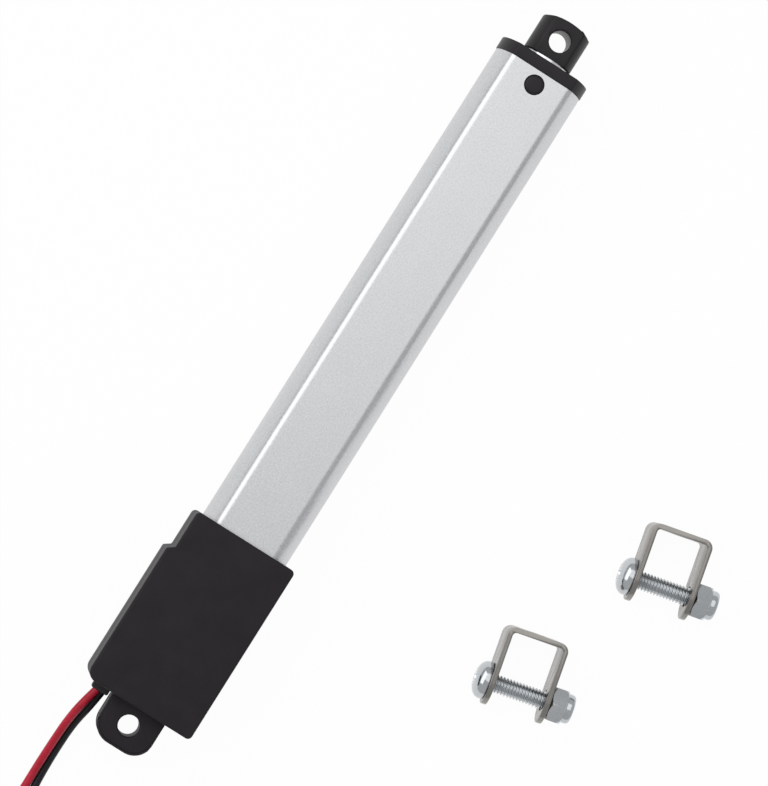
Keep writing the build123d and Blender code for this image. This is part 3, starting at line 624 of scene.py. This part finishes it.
def thread_tree():
    """Threaded bar along X: a grid wrapped round the axis, whose radius follows the thread."""
    tree = bpy.data.node_groups.new("threaded_bar", "GeometryNodeTree")
    face = tree.interface
    for name, kind in (
        ("Start", "NodeSocketFloat"), ("Length", "NodeSocketFloat"), ("Radius", "NodeSocketFloat"),
        ("Depth", "NodeSocketFloat"), ("Pitch", "NodeSocketFloat"), ("Starts", "NodeSocketFloat"),
        ("End Break", "NodeSocketFloat"), ("Along", "NodeSocketInt"), ("Around", "NodeSocketInt"),
        ("Finish", "NodeSocketMaterial"),
    ):
        face.new_socket(name, in_out="INPUT", socket_type=kind)
    face.new_socket("Mesh", in_out="OUTPUT", socket_type="NodeSocketGeometry")
    given = add(tree, "NodeGroupInput").outputs
    grid = add(
        tree, "GeometryNodeMeshGrid", Size_X=1.0, Size_Y=1.0,
        Vertices_X=given["Along"], Vertices_Y=given["Around"],
    )
    here = add(tree, "GeometryNodeInputPosition").outputs["Position"]
    axes = add(tree, "ShaderNodeSeparateXYZ", Vector=here).outputs
    known = {socket.name: socket for socket in given if socket.name}
    known.update({"grid x": axes["X"], "grid y": axes["Y"]})
    # Each line names a sum, its kind and its two values, which are numbers or sums named before.
    for result, operation, first, second in (
        ("share along", "ADD", "grid x", 0.5),
        ("share around", "ADD", "grid y", 0.5),
        ("along", "MULTIPLY", "share along", "Length"),
        ("turns", "DIVIDE", "along", "Pitch"),
        ("lag", "MULTIPLY", "share around", "Starts"),
        ("phase", "SUBTRACT", "turns", "lag"),
        ("wave", "PINGPONG", "phase", 0.5),
        ("ramp", "SUBTRACT", "wave", CREST_SHARE),
        ("steep", "DIVIDE", "ramp", FLANK_SHARE),
        ("above root", "MINIMUM", "steep", 1.0),
        ("groove", "MAXIMUM", "above root", 0.0),
        ("cut depth", "MULTIPLY", "groove", "Depth"),
        ("threaded", "SUBTRACT", "Radius", "cut depth"),
        ("to far end", "SUBTRACT", "Length", "along"),
        ("to end", "MINIMUM", "along", "to far end"),
        ("core", "SUBTRACT", "Radius", "End Break"),
        ("chamfer", "ADD", "core", "to end"),
        ("radius", "MINIMUM", "threaded", "chamfer"),
        ("angle", "MULTIPLY", "share around", FULL_TURN),
        ("cosine", "COSINE", "angle", 0.0),
        ("sine", "SINE", "angle", 0.0),
        ("x", "ADD", "Start", "along"),
        ("y", "MULTIPLY", "radius", "cosine"),
        ("z", "MULTIPLY", "radius", "sine"),
        ("far end", "ADD", "Start", "Length"),
        ("rim points", "SUBTRACT", "Around", 1.0),
    ):
        known[result] = add(
            tree, "ShaderNodeMath", {"operation": operation},
            in_0=known[first], in_1=known.get(second, second),
        ).outputs["Value"]
    spot = add(tree, "ShaderNodeCombineXYZ", X=known["x"], Y=known["y"], Z=known["z"])
    wrapped = add(
        tree, "GeometryNodeSetPosition", Geometry=grid.outputs["Mesh"], Position=spot.outputs["Vector"],
    )
    # A cap at each end, a fan whose rim falls on the grid's end rows.
    joined = add(tree, "GeometryNodeJoinGeometry")
    tree.links.new(wrapped.outputs["Geometry"], joined.inputs["Geometry"])
    for end in ("Start", "far end"):
        rim = add(
            tree, "GeometryNodeMeshCircle", {"fill_type": "TRIANGLE_FAN"},
            Vertices=known["rim points"], Radius=known["core"],
        )
        spot = add(tree, "ShaderNodeCombineXYZ", X=known[end])
        turned_rim = add(
            tree, "GeometryNodeTransform", Geometry=rim.outputs["Mesh"],
            Translation=spot.outputs["Vector"], Rotation=(QUARTER_TURN, 0.0, QUARTER_TURN),
        )
        tree.links.new(turned_rim.outputs["Geometry"], joined.inputs["Geometry"])
    merged = add(
        tree, "GeometryNodeMergeByDistance", Geometry=joined.outputs["Geometry"], Distance=MERGE,
    )
    whole = add(tree, "GeometryNodeRealizeInstances", Geometry=merged.outputs["Geometry"])
    painted = add(
        tree, "GeometryNodeSetMaterial", Geometry=whole.outputs["Geometry"], Material=given["Finish"],
    )
    add(tree, "NodeGroupOutput", Mesh=painted.outputs["Geometry"])
    return tree


THREAD = thread_tree()


def threaded_bar(name, start, length, radius, depth, pitch, end_break, material, starts=1):
    """Mesh of a threaded bar along X, with every size in mm."""
    piece = new_piece(name, bpy.data.meshes.new(name), None)
    nodes = piece.modifiers.new("thread", "NODES")
    nodes.node_group = THREAD
    sizes = {
        "Start": start * MM, "Length": length * MM, "Radius": radius * MM, "Depth": depth * MM,
        "Pitch": pitch * MM, "Starts": float(starts), "End Break": end_break * MM,
        "Along": int(length / pitch * THREAD_PER_PITCH), "Around": THREAD_AROUND + 1, "Finish": material,
    }
    for item in THREAD.interface.items_tree:
        if item.in_out == "INPUT":
            nodes[item.identifier] = sizes[item.name]
    bpy.context.view_layer.update()
    applied(piece)
    bm = bmesh.new()
    bm.from_mesh(piece.data)
    bmesh.ops.recalc_face_normals(bm, faces=bm.faces)
    bm.to_mesh(piece.data)
    bm.free()
    return piece


def joined(name, pieces):
    """One piece made of several, which keep their own finishes."""
    bm = bmesh.new()
    finishes = []
    for piece in pieces:
        own = list(piece.data.materials)
        used = sorted({face.material_index for face in piece.data.polygons})
        finishes += [own[k] for k in used if own[k] not in finishes]
        before = len(bm.faces)
        bm.from_mesh(piece.data)
        bm.faces.ensure_lookup_table()
        for face in bm.faces[before:]:
            face.material_index = finishes.index(own[face.material_index])
    mesh = bpy.data.meshes.new(name)
    bm.to_mesh(mesh)
    bm.free()
    for material in finishes:
        mesh.materials.append(material)
    for piece in pieces:
        bpy.data.objects.remove(piece)
    return new_piece(name, mesh, None)


# Brackets, bolts and lock nuts
BRACKET_WIDTH = 13.2
BRACKET_EASE = 0.1
BRACKET_MIDDLES = ((48.0, -65.0, -4.2), (82.0, -79.0, -4.2))
BRACKET_TURN = radians(-77.3)
HEAD_RADIUS = 4.0
HEAD_HEIGHT = 2.9
HEAD_RIM = 0.8
HEAD_BREAK = 0.15
HEAD_FLAT = 1.2
HEAD_STEPS = 10
RECESS_ARM = 1.8
RECESS_HALF = 0.45
RECESS_DEPTH = 1.5
RECESS_TAPER = 0.62
RECESS_EASE = 0.06
BOLT_RADIUS = 2.0
BOLT_LENGTH = 18.0
SHANK_SINK = 0.4
SHANK_GAP = 0.03
M4_PITCH = 0.7
M4_DEPTH = 0.38
M4_END_BREAK = 0.4
NUT_GAP = 0.35
NUT_FLATS = 3.5
# Half of the angle that one flat of the nut takes up.
HEX_HALF = FULL_TURN / 12
NUT_HEX = 3.3
NUT_HEIGHT = 5.0
NUT_STEPS = 96
CORNER_CURVE = 1.6
FACE_CIRCLE_GAP = 0.1
FACE_CUT = 0.5
FACE_STEPS = 5
TOP_CUT = 0.9
TOP_STEPS = 7
COLLAR_STEP = 0.12
COLLAR_RADIUS = 3.1
COLLAR_ROUND = 0.9
COLLAR_LEAN = 0.6
COLLAR_STEPS = 7
COLLAR_LIP = 0.08
NUT_MOUTH = 2.45
MOUTH_TAPER = 0.05
NYLON_DEPTH = 0.45
NYLON_ROOT = 0.3
NYLON_GRIP = 0.12
NYLON_GAP = 0.04
NYLON_PROUD = 0.16
NYLON_BREAK = 0.06

# Nylon of the locking ring: milky, slightly soft in the light.
NYLON_RING = moulded("natural_nylon_ring", "#c9c7bd", "#d8d6cd", 0.4, 0.2, 0.002)


def cross_cutter(outer, arm, half, depth):
    """Tapered cross that is pressed into a head at the X of outer, going along X."""
    cross = (
        (arm, -half), (arm, half), (half, half), (half, arm), (-half, arm), (-half, half),
        (-arm, half), (-arm, -half), (-half, -half), (-half, -arm), (half, -arm), (half, -half),
    )
    bm = bmesh.new()
    rings = []
    for x, share in ((outer - DRILL_REACH, 1.0), (outer, 1.0), (outer + depth, RECESS_TAPER)):
        rings.append([bm.verts.new((x * MM, y * share * MM, z * share * MM)) for y, z in cross])
    bridged(bm, rings)
    bm.faces.new(rings[0])
    bm.faces.new(rings[-1])
    return new_piece("cross", filled("cross", bm), None)


def bolt_head():
    """Pan head on the far side of the bracket, domed, with a pressed cross."""
    seat = -BRACKET_WIDTH / 2
    rim = seat - HEAD_RIM
    rise = HEAD_HEIGHT - HEAD_RIM
    profile = [
        (seat, 0.0), (seat, HEAD_RADIUS - HEAD_BREAK), (seat - HEAD_BREAK, HEAD_RADIUS), (rim, HEAD_RADIUS),
    ]
    for k in range(1, HEAD_STEPS + 1):
        angle = QUARTER_TURN * k / HEAD_STEPS
        profile.append((rim - rise * sin(angle), HEAD_FLAT + (HEAD_RADIUS - HEAD_FLAT) * cos(angle)))
    profile.append((seat - HEAD_HEIGHT, 0.0))
    piece = new_piece("bolt_head", turned("bolt_head", profile), ZINC)
    cut(piece, cross_cutter(seat - HEAD_HEIGHT, RECESS_ARM, RECESS_HALF, RECESS_DEPTH))
    return eased(piece, RECESS_EASE)


def hexagon(angle):
    """Radius of the nut's hexagon at an angle."""
    off = (angle + HEX_HALF) % (2 * HEX_HALF) - HEX_HALF
    return NUT_FLATS / cos(off)


def lock_nut():
    """Hexagon with chamfered corners, a round collar rolled in over the nylon ring."""
    start = BRACKET_WIDTH / 2 + NUT_GAP
    top = start + NUT_HEX
    end = start + NUT_HEIGHT
    floor = end - NYLON_DEPTH
    corner = hexagon(HEX_HALF)
    circle = NUT_FLATS - FACE_CIRCLE_GAP
    profile = [(start, BOLT_RADIUS), (start, circle)]
    for k in range(FACE_STEPS + 1):
        share = k / FACE_STEPS
        profile.append((start + FACE_CUT * share ** CORNER_CURVE, circle + (corner - circle) * share))
    for k in range(TOP_STEPS + 1):
        share = k / TOP_STEPS
        profile.append((top - TOP_CUT * (1 - share) ** CORNER_CURVE, corner - (corner - circle) * share))
    profile.append((top + COLLAR_STEP, COLLAR_RADIUS))
    for k in range(COLLAR_STEPS + 1):
        angle = QUARTER_TURN * k / COLLAR_STEPS
        inwards = COLLAR_ROUND * COLLAR_LEAN * (1 - cos(angle))
        profile.append((end - COLLAR_ROUND * (1 - sin(angle)), COLLAR_RADIUS - inwards))
    profile += [(end - COLLAR_LIP, NUT_MOUTH), (floor, NUT_MOUTH - MOUTH_TAPER), (floor, BOLT_RADIUS)]
    steel = shaded(turned("nut_steel", profile, steps=NUT_STEPS, limit=hexagon))
    rim = NUT_MOUTH - NYLON_GAP
    proud = floor + NYLON_PROUD
    nylon = shaded(turned("nylon", (
        (floor - NYLON_ROOT, BOLT_RADIUS - NYLON_GRIP), (floor - NYLON_ROOT, rim),
        (proud - NYLON_BREAK, rim), (proud, rim - 2 * NYLON_BREAK), (proud, BOLT_RADIUS + NYLON_BREAK),
        (floor, BOLT_RADIUS - NYLON_GRIP),
    )))
    nut = new_piece("nut_steel", steel, ZINC)
    ring = new_piece("nylon", nylon, NYLON_RING)
    return joined("nut_whole", [nut, ring])


def placed(piece, number):
    """Moves the mesh of a piece from the origin to its bracket."""
    x, y, z = BRACKET_MIDDLES[number]
    spot = Matrix.Translation((x * MM, y * MM, z * MM)) @ Matrix.Rotation(BRACKET_TURN, 4, "Z")
    piece.data.transform(spot)
    return piece


for number in range(len(BRACKET_MIDDLES)):
    label = number + 1
    dressed(f"bracket_{label}", BRACKET_EASE)
    shank = threaded_bar(
        f"shank_{label}", -BRACKET_WIDTH / 2 - SHANK_SINK, BOLT_LENGTH + SHANK_SINK,
        BOLT_RADIUS - SHANK_GAP, M4_DEPTH, M4_PITCH, M4_END_BREAK, ZINC,
    )
    shaded(shank.data, THREAD_SMOOTH_LIMIT)
    bolt = placed(joined(f"bracket_bolt_{label}_shown", [bolt_head(), shank]), number)
    settled(bolt, f"bracket_bolt_{label}", f"bracket_bolt_{label}", slot="zinc_steel")
    nut = placed(lock_nut(), number)
    nut.name = f"bracket_nut_{label}_shown"
    settled(nut, f"bracket_nut_{label}", f"bracket_nut_{label}", slot="zinc_steel")


# Lead screw
SCREW_THREAD_START = 44.6
SCREW_RADIUS = 2.5
SCREW_PITCH = 1.5
SCREW_STARTS = 2
SCREW_DEPTH = 0.55
SCREW_OVERLAP = 0.2
CORE_GAP = 0.01
CUT_HALF = 9.0
CUT_PAST = 1.0
screw_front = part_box("lead_screw")[1].x / MM
beyond = prism("beyond", (
    (SCREW_THREAD_START, -CUT_HALF), (screw_front + CUT_PAST, -CUT_HALF),
    (screw_front + CUT_PAST, CUT_HALF), (SCREW_THREAD_START, CUT_HALF),
), -CUT_HALF, CUT_HALF)
journal = cut(node_copy("lead_screw"), new_piece("beyond", beyond, None))
shaded(journal.data)
thread = threaded_bar(
    "screw_thread", SCREW_THREAD_START - SCREW_OVERLAP, screw_front - SCREW_THREAD_START + SCREW_OVERLAP,
    SCREW_RADIUS, SCREW_DEPTH, SCREW_PITCH, SCREW_DEPTH + CORE_GAP, SCREW_STEEL, starts=SCREW_STARTS,
)
shaded(thread.data, THREAD_SMOOTH_LIMIT)
settled(joined("lead_screw_shown", [journal, thread]), "lead_screw", "lead_screw", slot="screw_steel")


# Housing screws
HOUSING_SCREW_PLACES = ((9.5, -9.6), (32.8, -9.6), (14.2, 10.4), (32.8, 10.4))
SCREW_ARM = 1.0
SCREW_HALF = 0.26
SCREW_RECESS = 0.8
housing_screws = node_copy("housing_screws")
head_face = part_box("housing_screws")[0].z
for x, y in HOUSING_SCREW_PLACES:
    cross = cross_cutter(0.0, SCREW_ARM, SCREW_HALF, SCREW_RECESS)
    cross.data.transform(
        Matrix.Translation((x * MM, y * MM, head_face)) @ Matrix.Rotation(-QUARTER_TURN, 4, "Y")
    )
    cut(housing_screws, cross)
shaded(housing_screws.data)
settled(housing_screws, "housing_screws", "housing_screws", slot=NODE_SLOT["housing_screws"])


# Ends of the leads and ties
STRANDS = 7
BUNDLE_RADIUS = 0.45
BUNDLE_GROOVE = 0.1
BUNDLE_LENGTH = 4.0
BUNDLE_INSIDE = 0.8
BUNDLE_TIP = 0.3
BUNDLE_TIP_SHARE = 0.6
BUNDLE_STEPS = 56
RED_END_LEAN = (0.23, 0.55, 0.0)
BLACK_END_LEAN = (0.0, 0.0, 0.55)
TIE_ANGLES = (radians(200), radians(300))
TIE_HALF_WIDTH = 1.2
TIE_WALL = 0.25
TIE_CORNER = 0.9
TIE_CORNER_STEPS = 5


def bundle_radius(angle):
    """Radius of the bundle at an angle, with a groove between one strand and the next."""
    return BUNDLE_RADIUS * (1 - BUNDLE_GROOVE + BUNDLE_GROOVE * abs(cos(angle * STRANDS / 2)))


def bare_strands(name, points, lean):
    """Stripped and tinned strands that go on from a lead's last point."""
    last, before = Vector(points[-1]), Vector(points[-2])
    way = ((last - before).normalized() + Vector(lean)).normalized()
    mesh = turned(name, (
        (-BUNDLE_INSIDE, 0.0), (-BUNDLE_INSIDE, BUNDLE_RADIUS), (BUNDLE_LENGTH - BUNDLE_TIP, BUNDLE_RADIUS),
        (BUNDLE_LENGTH, BUNDLE_RADIUS * BUNDLE_TIP_SHARE), (BUNDLE_LENGTH, 0.0),
    ), steps=BUNDLE_STEPS, limit=bundle_radius)
    turn = way.to_track_quat("X", "Z").to_matrix().to_4x4()
    mesh.transform(Matrix.Translation(last * MM) @ turn)
    piece = new_piece(name, shaded(mesh), TINNED)
    return settled(piece, "housing", slot="nickel_steel")


def coil_tie(name, angle):
    """A soft band round all the turns of the coil."""
    inner, outer = INNER_TURN - LEAD_RADIUS, OUTER_TURN + LEAD_RADIUS
    low = CAD_BOX[0].z / MM + TIE_WALL
    high = BLACK_TURNS[-1][1] + LEAD_RADIUS
    inside, outside = [], []
    for corner, (r, z) in enumerate((
        (outer - TIE_CORNER, high - TIE_CORNER), (inner + TIE_CORNER, high - TIE_CORNER),
        (inner + TIE_CORNER, low + TIE_CORNER), (outer - TIE_CORNER, low + TIE_CORNER),
    )):
        for k in range(TIE_CORNER_STEPS + 1):
            bend = QUARTER_TURN * (corner + k / TIE_CORNER_STEPS)
            for ring, radius in ((inside, TIE_CORNER), (outside, TIE_CORNER + TIE_WALL)):
                ring.append((r + radius * cos(bend), z + radius * sin(bend)))
    bm = bmesh.new()
    rings = []
    for along, ring in (
        (-TIE_HALF_WIDTH, inside), (-TIE_HALF_WIDTH, outside), (TIE_HALF_WIDTH, outside),
        (TIE_HALF_WIDTH, inside),
    ):
        rings.append([bm.verts.new((r * MM, along * MM, z * MM)) for r, z in ring])
    bridged(bm, rings + rings[:1])
    mesh = filled(name, bm)
    mesh.transform(
        Matrix.Translation((COIL_CENTRE[0] * MM, COIL_CENTRE[1] * MM, 0)) @ Matrix.Rotation(angle, 4, "Z")
    )
    return settled(new_piece(name, shaded(mesh), BLACK_PVC), "housing", slot="black_pvc")


red_strands = bare_strands("red_lead_strands", red_points, RED_END_LEAN)
black_strands = bare_strands("black_lead_strands", black_points, BLACK_END_LEAN)
ties = [coil_tie(f"coil_tie_{k + 1}", angle) for k, angle in enumerate(TIE_ANGLES)]


# Floor, lights and background
FLOOR_GAP = 0.02 * MM
FLOOR_HEIGHT = CAD_BOX[0].z - FLOOR_GAP
FLOOR_SIZE = 3.0
WHITE_TO_CAMERA = 0.965
WHITE_IN_METAL = 0.84


def floor_material():
    """A pale board that looks white to the camera and in polished metal, and keeps a faint shadow."""
    made = bpy.data.materials.new("pale_floor")
    tree = cleared_tree(made)
    matt = add(tree, "ShaderNodeBsdfDiffuse", Color=linear("#f2f2f2"))
    shine = add(tree, "ShaderNodeEmission", Color=linear("#ffffff"), Strength=1.0)
    path = add(tree, "ShaderNodeLightPath")
    mirrored = add(
        tree, "ShaderNodeMath", {"operation": "MAXIMUM"},
        in_0=path.outputs["Is Glossy Ray"], in_1=path.outputs["Is Transmission Ray"],
    )
    in_metal = add(
        tree, "ShaderNodeMath", {"operation": "MULTIPLY"},
        in_0=mirrored.outputs["Value"], in_1=WHITE_IN_METAL,
    )
    share = add(
        tree, "ShaderNodeMath", {"operation": "MULTIPLY_ADD"},
        in_0=path.outputs["Is Camera Ray"], in_1=WHITE_TO_CAMERA, in_2=in_metal.outputs["Value"],
    )
    mixed = add(
        tree, "ShaderNodeMixShader", in_0=share.outputs["Value"], in_1=matt.outputs["BSDF"],
        in_2=shine.outputs["Emission"],
    )
    add(tree, "ShaderNodeOutputMaterial", Surface=mixed.outputs["Shader"])
    return made


def lay_floor():
    mesh = bpy.data.meshes.new("floor")
    half = FLOOR_SIZE / 2
    corners = [(-half, -half), (half, -half), (half, half), (-half, half)]
    mesh.from_pydata([(x, y, FLOOR_HEIGHT) for x, y in corners], [], [(0, 1, 2, 3)])
    new_piece("floor", mesh, floor_material())


lay_floor()

# Radiance of the plain surroundings that light the object. The camera sees them white.
WORLD_LEVEL = 0.54


def light_world():
    world = bpy.data.worlds.new("studio")
    bpy.context.scene.world = world
    tree = cleared_tree(world)
    path = add(tree, "ShaderNodeLightPath")
    level = add(
        tree, "ShaderNodeMath", {"operation": "MAXIMUM"}, in_0=path.outputs["Is Camera Ray"],
        in_1=WORLD_LEVEL,
    )
    back = add(
        tree, "ShaderNodeBackground", Color=linear("#ffffff"), Strength=level.outputs["Value"],
    )
    add(tree, "ShaderNodeOutputWorld", Surface=back.outputs["Background"])


light_world()


def soft_light(name, place, target, size, radiance):
    """A soft box of (width, height) metres whose face has the given radiance."""
    data = bpy.data.lights.new(name, "AREA")
    data.shape = "RECTANGLE"
    data.size, data.size_y = size
    data.energy = radiance * pi * size[0] * size[1]
    lamp = bpy.data.objects.new(name, data)
    bpy.context.scene.collection.objects.link(lamp)
    lamp.location = place
    lamp.rotation_euler = (Vector(target) - Vector(place)).to_track_quat("-Z", "Y").to_euler()


# The overhead box shows in the flat of the tube, and the left box in its rounded corner.
soft_light(
    "overhead_box", place=(0.70, 0.01, 1.25), target=(0.70, 0.01, 0.0), size=(1.3, 1.0), radiance=0.68,
)
soft_light("left_box", place=(0.12, 0.79, 0.80), target=(0.08, 0.0, 0.0), size=(1.6, 0.95), radiance=1.25)

bpy.context.scene.view_settings.view_transform = "Standard"
